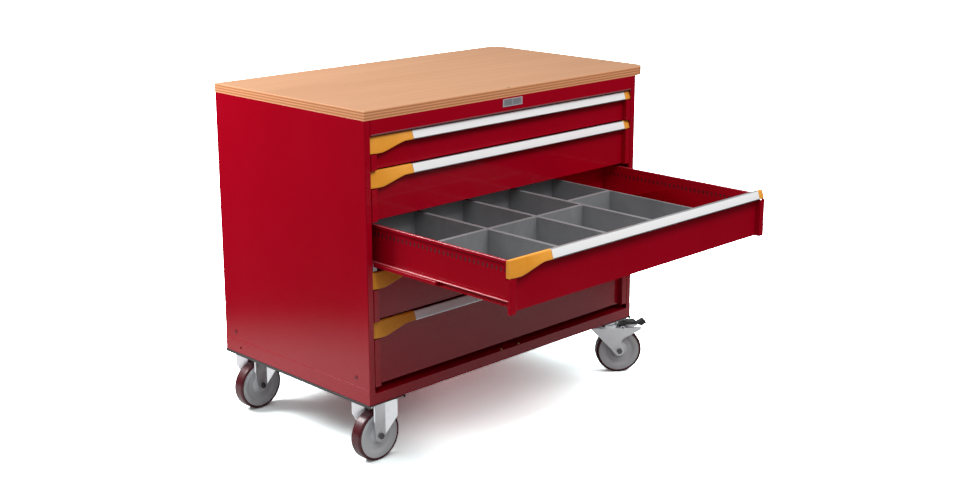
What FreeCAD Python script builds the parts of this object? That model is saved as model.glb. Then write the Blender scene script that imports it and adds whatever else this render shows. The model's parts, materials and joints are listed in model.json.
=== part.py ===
import FreeCAD, Part
import Sketcher
import math
import os
import re

# A mobile drawer cabinet with a beech worktop. Working directions: X runs from the left side to
# the right side, Y from the front to the back, Z upwards. Sub-parts are sketched in cabinet
# coordinates, whose zero is the front left bottom corner of the steel body, and their Placement
# moves that zero so that the whole assembly stands on Z = 0, centred on the origin.

DIMENSIONS = {
    # cabinet body and worktop
    "body_wide": 1193,
    "body_deep": 725,
    "body_tall": 850,
    "floor_gap": 200,
    "sheet": 2,
    "top_thick": 28,
    "top_overhang": 62,
    "top_corner": 55,
    "top_edge_round": 1.5,
    "plug_radius": 6,
    "plug_deep": 1,
    "plinth_tall": 47,
    "plinth_proud": 1,
    "ledge_level": 34,
    "post_wide": 21,
    "post_return": 14,
    "back_flange": 18,
    "rail_tall": 46,
    "rail_lip": 22,
    "upright_wide": 23,
    "upright_deep": 40,
    "rib_wide": 12,
    "rib_deep": 1.5,
    # castor beams and castors
    "beam_wide": 140,
    "beam_tall": 9,
    "beam_skin": 3,
    "beam_proud": 2,
    "castor_in_x": 63,
    "castor_in_front": 55,
    "castor_in_back": 77,
    "plate_long": 120,
    "plate_wide": 100,
    "plate_thick": 4,
    "wheel_radius": 80,
    "tread_wide": 42,
    "tread_round": 7.5,
    "core_radius": 71,
    "hub_wide": 46,
    "hub_radius": 22,
    "axle_radius": 6,
    "fork_inner": 24,
    "fork_skin": 3,
    "leg_wide": 40,
    "leg_flare": 27,
    "trail": 44,
    "crown_level": 34,
    "race_radius": 42,
    "race_level": 21,
    "kingpin_radius": 8,
    "boss_radius": 18,
    "lip_tall": 5.5,
    "lip_proud": 4,
    "pedal_wide": 36,
    "pedal_tip_wide": 22,
    "pedal_pin_out": 54,
    "pedal_pin_level": 34,
    "pedal_pin_radius": 3,
    "plate_bolt_out": 51,
    "plate_bolt_along": 41,
    "running_gap": 0.05,
    # drawers
    "front_gap": 2,
    "stile_wide": 22,
    "panel_recess": 18,
    "panel_thick": 1.5,
    "panel_short": 0.5,
    "seam_wide": 0.1,
    "box_skin": 1.5,
    "box_side_in": 51,
    "box_long": 622,
    "box_floor_up": 15,
    "box_rim_down": 10,
    "rim_wide": 8,
    "rim_tall": 9,
    "runner_wide": 11,
    "runner_tall": 14,
    "slot_pitch": 17,
    "slot_wide": 6,
    "slot_tall": 12,
    "slot_down": 24,
    "slot_count": 34,
    "cap_long": 163,
    "cap_small": 28,
    "cap_tall": 50,
    "cap_wall": 2.5,
    "grip_tall": 28,
    "grip_foot": 3,
    "grip_top_down": 1.5,
    "grip_lean": 8,
    "latch_pin_radius": 3,
    "latch_pin_in": 11,
    "latch_pin_down": 14,
    "latch_gap": 1,
    "latch_facet": 20,
    "facet_deep": 5,
    "latch_flat": 44,
    "latch_sweep_end": 126,
    "open_travel": 550,
    "mid_long": 620,
    # trays in the open drawer
    "tray_wide": 203,
    "tray_split": 283,
    "tray_split_last": 346,
    "trays_long": 595,
    "tray_tall": 118,
    "tray_wall": 2.5,
    "tray_rim": 6,
}

FRONT_HEIGHTS = [100, 150, 150, 150, 200]
OPEN_DRAWER = 3
SWIVEL_TURNS = {"front_right": -38, "rear_right": -35}

# extreme faces of the assembly at rest, which centre it on the origin
LEFT_EXTREME = -DIMENSIONS["beam_proud"]
RIGHT_EXTREME = DIMENSIONS["body_wide"] + DIMENSIONS["top_overhang"]
FRONT_EXTREME = -DIMENSIONS["open_travel"]
BACK_EXTREME = DIMENSIONS["body_deep"] + DIMENSIONS["beam_proud"]
DIMENSIONS["centre_x"] = (LEFT_EXTREME + RIGHT_EXTREME) / 2
DIMENSIONS["centre_y"] = (FRONT_EXTREME + BACK_EXTREME) / 2

# level of the top of each drawer's slot above the body's bottom, from the top drawer down
slot_level = DIMENSIONS["body_tall"] - DIMENSIONS["rail_tall"] - 3
for number, front_height in enumerate(FRONT_HEIGHTS, 1):
    DIMENSIONS["level_" + str(number)] = slot_level
    DIMENSIONS["pitch_" + str(number)] = front_height
    slot_level -= front_height

doc = FreeCAD.newDocument("drawer_workbench")
dims = doc.addObject("Spreadsheet::Sheet", "Dims")
for row, (alias, amount) in enumerate(DIMENSIONS.items(), 1):
    dims.set("A" + str(row), alias)
    dims.set("B" + str(row), str(amount))
    dims.setAlias("B" + str(row), alias)
doc.recompute()

NODES = []


def sheet_names(expression):
    """Point every dimension's name in an expression at the spreadsheet."""
    return re.sub(r"[a-z]\w*_\w+|sheet|trail", lambda word: "Dims." + word.group(0), str(expression))


def bind(item, target, expression):
    item.setExpression(target, sheet_names(expression))


def amount_of(expression):
    return float(dims.evalExpression(sheet_names(expression)))


def place(item, x="0", y="0", z="0", turn=0):
    """Stand an item at a point in cabinet coordinates, turned about the vertical."""
    bind(item, "Placement.Base.x", f"({x}) - centre_x")
    bind(item, "Placement.Base.y", f"({y}) - centre_y")
    bind(item, "Placement.Base.z", f"({z}) + floor_gap")
    if turn:
        item.Placement.Rotation = FreeCAD.Rotation(FreeCAD.Vector(0, 0, 1), turn)


def node(item, label):
    """Give a finished sub-part the name of its file."""
    item.Label = label
    NODES.append(item)
    return item


def new_body(name, x="0", y="0", z="0", turn=0):
    body = doc.addObject("PartDesign::Body", name)
    place(body, x, y, z, turn)
    return body


def new_sketch(body, plane, offset="0"):
    """A sketch on one of the body's own origin planes, moved along the plane's normal."""
    sketch = body.newObject("Sketcher::SketchObject", body.Name + "_sketch")
    origin_plane = [item for item in body.Origin.OriginFeatures if item.Role == plane][0]
    sketch.AttachmentSupport = (origin_plane, [""])
    sketch.MapMode = "FlatFace"
    bind(sketch, "AttachmentOffset.Base.z", offset)
    return sketch


def outline(sketch, corners):
    """A closed polygon whose corners are pairs of expressions, each bound to the sheet."""
    points = [FreeCAD.Vector(amount_of(across), amount_of(up), 0) for across, up in corners]
    first = sketch.GeometryCount
    for index, point in enumerate(points):
        sketch.addGeometry(Part.LineSegment(point, points[(index + 1) % len(points)]))
    for index in range(len(points)):
        following = (index + 1) % len(points)
        sketch.addConstraint(
            Sketcher.Constraint("Coincident", first + index, 2, first + following, 1))
    for index, (across, up) in enumerate(corners):
        for kind, expression, value in (("DistanceX", across, points[index].x),
                                        ("DistanceY", up, points[index].y)):
            number_of_it = sketch.addConstraint(
                Sketcher.Constraint(kind, -1, 1, first + index, 1, value))
            bind(sketch, f"Constraints[{number_of_it}]", expression)


def circle(sketch, across, up, radius):
    """A circle whose centre and radius are expressions."""
    centre = FreeCAD.Vector(amount_of(across), amount_of(up), 0)
    ring = sketch.addGeometry(Part.Circle(centre, FreeCAD.Vector(0, 0, 1), amount_of(radius)))
    for kind, expression, value in (("DistanceX", across, centre.x), ("DistanceY", up, centre.y)):
        number_of_it = sketch.addConstraint(Sketcher.Constraint(kind, -1, 1, ring, 3, value))
        bind(sketch, f"Constraints[{number_of_it}]", expression)
    number_of_it = sketch.addConstraint(Sketcher.Constraint("Radius", ring, amount_of(radius)))
    bind(sketch, f"Constraints[{number_of_it}]", radius)


def box_outline(sketch, left, bottom, right, top):
    outline(sketch, [(left, bottom), (right, bottom), (right, top), (left, top)])


def pad(body, sketch, length, both_ways=False):
    feature = body.newObject("PartDesign::Pad", body.Name + "_pad")
    feature.Profile = sketch
    feature.Midplane = both_ways
    bind(feature, "Length", length)
    doc.recompute()
    return feature


def cut(body, sketch, length, both_ways=False, backwards=False, towards=None):
    """A pocket, with a check that it took material away."""
    before = body.Tip.Shape.Volume
    feature = body.newObject("PartDesign::Pocket", body.Name + "_pocket")
    feature.Profile = sketch
    feature.Midplane = both_ways
    feature.Reversed = backwards
    if towards:
        feature.UseCustomVector = True
        feature.Direction = towards
    bind(feature, "Length", length)
    doc.recompute()
    if not feature.Shape.Volume < before - 0.1:
        raise RuntimeError(body.Name + ": a pocket cut nothing")
    return feature


def edges_where(shape, test):
    return ["Edge" + str(index) for index, edge in enumerate(shape.Edges, 1) if test(edge)]


def is_upright(edge):
    start, end = edge.Vertexes[0].Point, edge.Vertexes[-1].Point
    return abs(start.x - end.x) < 0.01 and abs(start.y - end.y) < 0.01 and abs(start.z - end.z) > 1


def runs_along(edge, axis):
    step = edge.Vertexes[-1].Point - edge.Vertexes[0].Point
    return step.Length > 1 and abs(abs(step[axis]) - step.Length) < 0.01


def round_edges(body, test, radius):
    """Fillet the edges of the body's last feature that pass the test."""
    base = body.Tip
    names = edges_where(base.Shape, test)
    if not names:
        raise RuntimeError(body.Name + ": no edges to round")
    feature = body.newObject("PartDesign::Fillet", body.Name + "_fillet")
    feature.Base = (base, names)
    bind(feature, "Radius", radius)
    doc.recompute()
    return feature


def edge_at(axis, places, tolerance=0.02):
    """A test for edges along one axis at any of the given pairs of the other coordinates."""
    others = [index for index in range(3) if index != axis]

    def test(edge):
        if not runs_along(edge, axis):
            return False
        point = edge.Vertexes[0].Point
        return any(abs(point[others[0]] - first) < tolerance and abs(point[others[1]] - second) < tolerance
                   for first, second in places)

    return test


def block(name, x, y, z, wide, deep, tall):
    """A Part::Box between expressions in cabinet coordinates."""
    item = doc.addObject("Part::Box", name)
    bind(item, "Length", wide)
    bind(item, "Width", deep)
    bind(item, "Height", tall)
    bind(item, "Placement.Base.x", x)
    bind(item, "Placement.Base.y", y)
    bind(item, "Placement.Base.z", z)
    return item


def rod(name, x, y, z, radius, length, axis):
    """A Part::Cylinder that starts at a point and runs along X, Y or Z."""
    item = doc.addObject("Part::Cylinder", name)
    bind(item, "Radius", radius)
    bind(item, "Height", length)
    directions = {"X": FreeCAD.Vector(1, 0, 0), "Y": FreeCAD.Vector(0, 1, 0), "Z": FreeCAD.Vector(0, 0, 1)}
    item.Placement.Rotation = FreeCAD.Rotation(FreeCAD.Vector(0, 0, 1), directions[axis])
    bind(item, "Placement.Base.x", x)
    bind(item, "Placement.Base.y", y)
    bind(item, "Placement.Base.z", z)
    return item


def difference(name, base, tool):
    item = doc.addObject("Part::Cut", name)
    item.Base = base
    item.Tool = tool
    return item


def joined(name, items):
    item = doc.addObject("Part::MultiFuse", name)
    item.Shapes = items
    item.Refine = True
    return item


def group(name, items, x="0", y="0", z="0"):
    """Separate solids kept together as one node."""
    item = doc.addObject("Part::Compound", name)
    item.Links = items
    place(item, x, y, z)
    return item


def on_side(expression, right):
    """The same distance measured from the left side or from the right side."""
    return f"body_wide - ({expression})" if right else f"({expression})"


def span(first, last, right):
    """Left edge and width of a stretch measured from either side."""
    start = on_side(last, right) if right else first
    return start, f"({last}) - ({first})"


# ---------------------------------------------------------------- worktop and steel body

PLUG_PLACES = [("body_wide + 26", "body_deep - 82"), ("body_wide + 19", "162"), ("589", "10")]


def make_worktop():
    body = new_body("worktop", z="body_tall")
    sketch = new_sketch(body, "XY_Plane")
    box_outline(sketch, "0", "0", "body_wide + top_overhang", "body_deep")
    pad(body, sketch, "top_thick")
    right = amount_of("body_wide + top_overhang")
    back = amount_of("body_deep")
    round_edges(body, edge_at(2, [(right, 0), (right, back)]), "top_corner")
    level = amount_of("top_thick")
    round_edges(body, lambda edge: all(abs(v.Point.z - level) < 0.01 for v in edge.Vertexes),
                "top_edge_round")
    recesses = new_sketch(body, "XY_Plane", "top_thick")
    for across, deep in PLUG_PLACES:
        circle(recesses, across, deep, "plug_radius")
    cut(body, recesses, "plug_deep")
    node(body, "worktop")


def make_top_panel():
    body = new_body("top_panel")
    sketch = new_sketch(body, "YZ_Plane", "sheet")
    outline(sketch, [("0", "body_tall - rail_tall"),
                     ("rail_lip", "body_tall - rail_tall"),
                     ("rail_lip", "body_tall - rail_tall + sheet"),
                     ("sheet", "body_tall - rail_tall + sheet"),
                     ("sheet", "body_tall - sheet"),
                     ("body_deep - sheet", "body_tall - sheet"),
                     ("body_deep - sheet", "body_tall"),
                     ("0", "body_tall")])
    pad(body, sketch, "body_wide - 2 * sheet")
    notches = new_sketch(body, "XY_Plane", "body_tall + 1")
    box_outline(notches, "-1", "-1", "post_wide + front_gap / 4", "rail_lip + 10")
    box_outline(notches, "body_wide - post_wide - front_gap / 4", "-1", "body_wide + 1", "rail_lip + 10")
    cut(body, notches, "rail_tall + 10")
    rail_bottom = amount_of("body_tall - rail_tall")
    round_edges(body, edge_at(0, [(0, rail_bottom)]), "1.5 * sheet")
    node(body, "top_panel")


def make_side_panel(name, right):
    """A folded side: the skin, the front post face with its return, and the back flange."""
    body = new_body(name, z="plinth_tall")
    profile = [("0", "0"), ("post_wide", "0"), ("post_wide", "post_return"),
               ("post_wide - sheet", "post_return"), ("post_wide - sheet", "sheet"),
               ("sheet", "sheet"), ("sheet", "body_deep - sheet"),
               ("back_flange", "body_deep - sheet"), ("back_flange", "body_deep"), ("0", "body_deep")]
    sketch = new_sketch(body, "XY_Plane")
    outline(sketch, [(on_side(across, right), deep) for across, deep in profile])
    pad(body, sketch, "body_tall - plinth_tall")
    outer = amount_of(on_side("0", right))
    inner = amount_of(on_side("post_wide", right))
    back = amount_of("body_deep")
    round_edges(body, edge_at(2, [(outer, 0), (inner, 0), (outer, back)]), "1.25 * sheet")
    node(body, name)


def make_back_panel():
    """A flat back with two stiffening ribs pressed inwards, held by the side panels' flanges."""
    body = new_body("back_panel", z="ledge_level")
    inside, outside = "body_deep - 2 * sheet", "body_deep - sheet"
    outer_line = [("2 * sheet", outside)]
    inner_line = [("2 * sheet", inside)]
    for rib in ("body_wide / 3", "body_wide * 2 / 3"):
        for edge, depth in ((f"{rib} - rib_wide", "0"), (f"{rib} - rib_wide / 2", "rib_deep"),
                            (f"{rib} + rib_wide / 2", "rib_deep"), (f"{rib} + rib_wide", "0")):
            outer_line.append((edge, f"{outside} - {depth}"))
            inner_line.append((edge, f"{inside} - {depth}"))
    outer_line.append(("body_wide - 2 * sheet", outside))
    inner_line.append(("body_wide - 2 * sheet", inside))
    sketch = new_sketch(body, "XY_Plane")
    outline(sketch, inner_line + outer_line[::-1])
    pad(body, sketch, "body_tall - ledge_level - 1.5 * sheet")
    node(body, "back_panel")


def make_base_pan():
    """The plinth: outer walls, the cabinet floor at ledge level and a low front ledge."""
    body = new_body("base_pan")
    sketch = new_sketch(body, "XY_Plane")
    box_outline(sketch, "-plinth_proud", "0", "body_wide + plinth_proud", "body_deep")
    pad(body, sketch, "plinth_tall")
    upper = new_sketch(body, "XY_Plane", "plinth_tall")
    outline(upper, [("post_wide", "-1"), ("body_wide - post_wide", "-1"),
                    ("body_wide - post_wide", "sheet"), ("body_wide - sheet", "sheet"),
                    ("body_wide - sheet", "body_deep - sheet"), ("sheet", "body_deep - sheet"),
                    ("sheet", "sheet"), ("post_wide", "sheet")])
    cut(body, upper, "plinth_tall - ledge_level")
    lower = new_sketch(body, "XY_Plane")
    box_outline(lower, "sheet", "sheet", "body_wide - sheet", "body_deep - sheet")
    cut(body, lower, "ledge_level - sheet", backwards=True)
    vent = new_sketch(body, "YZ_Plane", "-plinth_proud - 1")
    circle(vent, "body_deep - 81", "20", "4")
    cut(body, vent, "plinth_proud + sheet + 3", backwards=True)
    edge_places = [(amount_of("-plinth_proud"), 0), (amount_of("body_wide + plinth_proud"), 0),
                   (amount_of("-plinth_proud"), amount_of("body_deep")),
                   (amount_of("body_wide + plinth_proud"), amount_of("body_deep"))]
    round_edges(body, edge_at(2, edge_places), "sheet")
    node(body, "base_pan")


def make_corner_posts():
    """Four folded uprights inside the side panels, which carry the drawer slides."""
    items = []
    for right in (False, True):
        for station, y in (("front", "rail_lip + 2"), ("rear", "body_deep - 100")):
            name = f"post_{station}_{'right' if right else 'left'}"
            x, wide = span("sheet", "upright_wide + sheet", right)
            outer = block(name + "_outer", x, y, "ledge_level", wide, "upright_deep",
                          "body_tall - ledge_level - sheet - 1")
            x, wide = span("sheet - 1", "upright_wide", right)
            inner = block(name + "_inner", x, f"{y} + sheet", "ledge_level - 1", wide,
                          "upright_deep - 2 * sheet", "body_tall")
            items.append(difference(name, outer, inner))
    node(group("corner_posts", items), "corner_posts")


def make_name_plate():
    body = new_body("name_plate", x="body_wide / 2", z="body_tall - 17")
    sketch = new_sketch(body, "XZ_Plane")
    box_outline(sketch, "-43", "-12", "43", "12")
    pad(body, sketch, "1.2")
    round_edges(body, lambda edge: runs_along(edge, 1), "6")
    node(body, "name_plate")


# ---------------------------------------------------------------- drawer slides

def make_cabinet_slides():
    """The fixed channels: one each side of every drawer, with a tab and pin for a roller."""
    items = []
    for index in range(1, len(FRONT_HEIGHTS) + 1):
        floor = f"level_{index} - pitch_{index} + box_floor_up"
        for right in (False, True):
            name = f"slide_{index}_{'right' if right else 'left'}"
            x, wide = span("25", "37", right)
            outer = block(name + "_outer", x, "16", floor, wide, "body_deep - 60", "runner_tall")
            x, wide = span("25 + box_skin", "38", right)
            inner = block(name + "_inner", x, "15", f"{floor} + box_skin", wide, "body_deep",
                          "runner_tall - 2 * box_skin")
            channel = difference(name + "_channel", outer, inner)
            x, wide = span("25", "25 + box_skin", right)
            tab = block(name + "_tab", x, "3", f"{floor} - 10", wide, "14", "10 + runner_tall")
            x, wide = span("26", "39.5", right)
            pin = rod(name + "_pin", x, "9", f"{floor} - 5", "2", wide, "X")
            items.append(joined(name, [channel, tab, pin]))
    node(group("cabinet_slides", items), "cabinet_slides")


def make_slide_rollers():
    """White nylon rollers on the slides' pins, under the middle members."""
    items = []
    for index in range(1, len(FRONT_HEIGHTS) + 1):
        centre = f"level_{index} - pitch_{index} + box_floor_up - 5"
        for right in (False, True):
            name = f"roller_{index}_{'right' if right else 'left'}"
            x, wide = span("33", "39", right)
            tyre = rod(name + "_tyre", x, "9", centre, "6", wide, "X")
            bore = rod(name + "_bore", x, "9", centre, "2", wide, "X")
            items.append(difference(name, tyre, bore))
    node(group("slide_rollers", items), "slide_rollers")


def make_middle_slides(index):
    """The middle members of a pair of slides, half way out when the drawer is out."""
    floor = f"pitch_{index}"
    advance = "open_travel / 2" if index == OPEN_DRAWER else "0"
    items = []
    for right in (False, True):
        name = f"middle_{index}_{'right' if right else 'left'}"
        x, wide = span("32", "47", right)
        items.append(block(name, x, f"24 - ({advance})", f"box_floor_up - {floor} + box_skin + 0.4", wide,
                           "mid_long", "runner_tall - 2 * box_skin - 0.8"))
    label = f"drawer_{index}_slide_middles"
    node(group(label, items, z=f"level_{index}"), label)


# ---------------------------------------------------------------- drawers
# Drawer pieces are sketched with Z = 0 at the top of the drawer's slot and Y = 0 at the cabinet's
# front plane, and the open drawer's Placement moves them forwards.

def drawer_advance(index):
    return "open_travel" if index == OPEN_DRAWER else "0"


def perforated_side(name, index, right):
    """A drawer side with an outward folded rim and a row of slots for dividers."""
    body = doc.addObject("PartDesign::Body", name)
    floor = f"box_floor_up - pitch_{index}"
    profile = [("box_side_in", floor), ("box_side_in + box_skin", floor),
               ("box_side_in + box_skin", "-box_rim_down"),
               ("box_side_in + box_skin - rim_wide", "-box_rim_down"),
               ("box_side_in + box_skin - rim_wide", "-box_rim_down - rim_tall"),
               ("box_side_in + 2 * box_skin - rim_wide", "-box_rim_down - rim_tall"),
               ("box_side_in + 2 * box_skin - rim_wide", "-box_rim_down - box_skin"),
               ("box_side_in", "-box_rim_down - box_skin")]
    sketch = new_sketch(body, "XZ_Plane", "-panel_recess - panel_thick")
    outline(sketch, [(on_side(across, right), up) for across, up in profile])
    profile_pad = pad(body, sketch, "box_long")
    profile_pad.Reversed = True
    doc.recompute()
    rim_outer = amount_of(on_side("box_side_in + box_skin - rim_wide", right))
    rim_inner = amount_of(on_side("box_side_in + box_skin", right))
    rim_level = amount_of("-box_rim_down")
    round_edges(body, edge_at(1, [(rim_outer, rim_level), (rim_inner, rim_level)]), "0.9 * box_skin")
    slot = new_sketch(body, "YZ_Plane", on_side("box_side_in + box_skin / 2", right))
    box_outline(slot, "panel_recess + 26", "-box_rim_down - slot_down - slot_tall",
                "panel_recess + 26 + slot_wide", "-box_rim_down - slot_down")
    pocket = cut(body, slot, "2 * box_skin", both_ways=True)
    row = body.newObject("PartDesign::LinearPattern", name + "_row")
    row.Originals = [pocket]
    row.Direction = ([item for item in body.Origin.OriginFeatures if item.Role == "Y_Axis"][0], [""])
    bind(row, "Length", "slot_pitch * (slot_count - 1)")
    bind(row, "Occurrences", "slot_count")
    body.Tip = row
    doc.recompute()
    return body


def make_drawer_box(index):
    """Floor, back, two perforated sides and two outer runners, spot welded to each other."""
    name = f"drawer_{index}_box"
    floor = f"box_floor_up - pitch_{index}"
    start = "panel_recess + panel_thick"
    items = []
    items.append(block(name + "_floor", "box_side_in + box_skin", start, floor,
                       "body_wide - 2 * box_side_in - 2 * box_skin", "box_long", "box_skin"))
    items.append(block(name + "_back", "box_side_in + box_skin", f"{start} + box_long - box_skin",
                       f"{floor} + box_skin", "body_wide - 2 * box_side_in - 2 * box_skin", "box_skin",
                       f"pitch_{index} - box_floor_up - box_skin - box_rim_down"))
    for right in (False, True):
        side = "right" if right else "left"
        items.append(perforated_side(f"{name}_side_{side}", index, right))
        x, wide = span("box_side_in - runner_wide", "box_side_in", right)
        outer = block(f"{name}_runner_{side}_outer", x, f"{start} + 6", floor, wide, "box_long - 6",
                      "runner_tall")
        x, wide = span("box_side_in - runner_wide - 1", "box_side_in - box_skin", right)
        inner = block(f"{name}_runner_{side}_inner", x, start, f"{floor} + box_skin", wide,
                      "box_long + 2", "runner_tall - 2 * box_skin")
        items.append(difference(f"{name}_runner_{side}", outer, inner))
    node(group(name, items, y=f"-({drawer_advance(index)})", z=f"level_{index}"), name)


def make_drawer_front(index):
    """A pressed front: a recessed panel seamed to two hollow stiles, with plates behind the caps."""
    name = f"drawer_{index}_front"
    body = new_body(name, y=f"-({drawer_advance(index)})", z=f"level_{index}")
    outer = "post_wide + front_gap"
    inner = "post_wide + front_gap + stile_wide"
    back = "panel_recess + panel_thick"
    bottom = f"1.5 - pitch_{index}"
    half = [(outer, "12"), (outer, "0"), (inner, "0"), (inner, "panel_recess")]
    lining = [(f"{inner} - panel_thick", back), (f"{inner} - panel_thick", "panel_thick"),
              (f"{outer} + panel_thick", "panel_thick"), (f"{outer} + panel_thick", "12")]
    sketch = new_sketch(body, "XY_Plane", bottom)
    outline(sketch, half + [(on_side(across, True), deep) for across, deep in half[::-1]]
            + [(on_side(across, True), deep) for across, deep in lining[::-1]] + lining)
    pad(body, sketch, f"pitch_{index} - 1.5 - box_rim_down + 2")
    lip = new_sketch(body, "XY_Plane", f"{bottom} + panel_short")
    box_outline(lip, inner, "panel_recess", f"body_wide - ({inner})", f"{back} + 14")
    pad(body, lip, "panel_thick")
    undercut = new_sketch(body, "XY_Plane", f"{bottom} - 1")
    box_outline(undercut, inner, "panel_recess - 1", f"body_wide - ({inner})", f"{back} + 2")
    cut(body, undercut, "panel_short + 1", backwards=True)
    stile_tops = new_sketch(body, "XY_Plane", "0")
    box_outline(stile_tops, "0", "-1", inner, "panel_recess")
    cut(body, stile_tops, "cap_tall + 2")
    stile_top = new_sketch(body, "XY_Plane", "0")
    box_outline(stile_top, f"body_wide - ({inner})", "-1", "body_wide", "panel_recess")
    cut(body, stile_top, "grip_tall + 2")
    for right, tall in ((False, "cap_tall + 6"), (True, "grip_tall + 6")):
        plate = new_sketch(body, "XY_Plane", f"-({tall})")
        left, wide = span(f"{outer} + 1", f"{inner} + 6", right)
        box_outline(plate, left, "panel_recess", f"{left} + {wide}", back)
        pad(body, plate, f"{tall} - box_rim_down + 2")
    pin = new_sketch(body, "XZ_Plane", "-panel_recess - panel_thick / 2")
    circle(pin, f"{outer} + latch_pin_in", "-latch_pin_down", "latch_pin_radius")
    pad(body, pin, "panel_recess + panel_thick / 2 - 11")
    corner = [(amount_of(side(edge)), 0) for edge in (outer, inner)
              for side in (lambda text: on_side(text, False), lambda text: on_side(text, True))]
    round_edges(body, edge_at(2, corner), "1.2 * panel_thick")
    body.AllowCompound = True
    seams = new_sketch(body, "XY_Plane", bottom)
    for right in (False, True):
        left, wide = span(inner, f"{inner} + seam_wide", right)
        box_outline(seams, left, "panel_recess - 1", f"{left} + {wide}", f"{back} + 15")
    cut(body, seams, f"pitch_{index}", backwards=True)
    node(body, name)


def make_handle(index):
    """An aluminium extrusion: a leaning label face with two lips, hooked over the panel."""
    name = f"drawer_{index}_handle"
    body = new_body(name, y=f"-({drawer_advance(index)})", z=f"level_{index}")
    sketch = new_sketch(body, "YZ_Plane", "post_wide + front_gap + cap_long")
    top = "-grip_top_down"
    outline(sketch, [("0", "-grip_tall"), ("0", "grip_foot - grip_tall"), ("1", "grip_foot - grip_tall"),
                     ("grip_lean", f"{top} - 2.5"), ("grip_lean - 0.6", f"{top} - 2"),
                     ("grip_lean + 0.6", top), ("panel_recess", top), ("panel_recess", f"{top} - 16"),
                     ("panel_recess - 2", f"{top} - 16"), ("panel_recess - 2", f"{top} - 2"),
                     ("grip_lean + 2.4", f"{top} - 2"), ("3", "grip_foot - grip_tall"), ("3", "-grip_tall")])
    pad(body, sketch, "body_wide - 2 * post_wide - 2 * front_gap - cap_long - cap_small")
    node(body, name)


def cap_body(name, index, corners, inner_wall):
    """A hollow plastic cap with the handle's lean, from its front outline."""
    body = new_body(name, y=f"-({drawer_advance(index)})", z=f"level_{index}")
    sketch = new_sketch(body, "XZ_Plane", "-panel_recess + 0.3")
    outline(sketch, corners)
    pad(body, sketch, "panel_recess - 0.3")
    lean = new_sketch(body, "YZ_Plane", "0")
    outline(lean, [("-1", "grip_foot - grip_tall"), ("0", "grip_foot - grip_tall"),
                   ("grip_lean + 0.6", "-grip_top_down"), ("grip_lean + 0.6", "1"), ("-1", "1")])
    cut(body, lean, "body_wide", backwards=True)
    hollow = new_sketch(body, "XZ_Plane", "-panel_recess - 1")
    outline(hollow, inner_wall)
    cut(body, hollow, "panel_recess + 1 - grip_lean - 4", backwards=True)
    return body


def make_latch(index):
    """The amber lever at the left end of the handle, deep at its left and swept up to the grip."""
    name = f"drawer_{index}_latch"
    left = "post_wide + front_gap"
    right = "post_wide + front_gap + cap_long - latch_gap"
    top = "-grip_top_down"
    sweep_start = f"{left} + latch_flat"
    sweep_end = f"{left} + latch_sweep_end"
    corners = [(left, "-cap_tall"), (sweep_start, "-cap_tall"), (sweep_end, "-grip_tall"),
               (right, "-grip_tall"), (right, top), (left, top)]
    near = f"{left} + latch_facet + cap_wall"
    inner_wall = [(near, "cap_wall - cap_tall"), (f"{sweep_start} - 1", "cap_wall - cap_tall"),
                  (f"{sweep_end} - 1", "cap_wall - grip_tall"),
                  (f"{right} - cap_wall", "cap_wall - grip_tall"),
                  (f"{right} - cap_wall", f"{top} - cap_wall"), (near, f"{top} - cap_wall")]
    body = cap_body(name, index, corners, inner_wall)
    down = FreeCAD.Vector(0, 0, -1)
    up_the_lean = FreeCAD.Vector(0, amount_of("grip_lean + 0.6"),
                                 amount_of("grip_tall - grip_foot - grip_top_down"))
    for direction, length in ((down, "cap_tall"), (up_the_lean, "grip_tall")):
        facet = new_sketch(body, "XY_Plane", "grip_foot - grip_tall")
        outline(facet, [(f"{left} - 1", "-9"), (f"{left} + latch_facet", "-9"),
                        (f"{left} + latch_facet", "0"), (left, "facet_deep"),
                        (f"{left} - 1", "facet_deep")])
        cut(body, facet, length, towards=direction)
    bore = new_sketch(body, "XZ_Plane", "-panel_recess")
    circle(bore, f"{left} + latch_pin_in", "-latch_pin_down", "latch_pin_radius + running_gap")
    cut(body, bore, "panel_recess - 10.5", backwards=True)
    node(body, name)


def make_cap(index):
    """The short amber cap at the right end of the handle."""
    name = f"drawer_{index}_cap"
    left = "body_wide - post_wide - front_gap - cap_small"
    right = "body_wide - post_wide - front_gap"
    top = "-grip_top_down"
    corners = [(left, "-grip_tall"), (right, "-grip_tall"), (right, top), (left, top)]
    inner_left, inner_right = f"{left} + cap_wall", f"{right} - cap_wall"
    inner_bottom, inner_top = "cap_wall - grip_tall", f"{top} - cap_wall"
    inner_wall = [(inner_left, inner_bottom), (inner_right, inner_bottom),
                  (inner_right, inner_top), (inner_left, inner_top)]
    body = cap_body(name, index, corners, inner_wall)
    round_edges(body, edge_at(2, [(amount_of(right), 0)]), "cap_wall")
    node(body, name)


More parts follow.
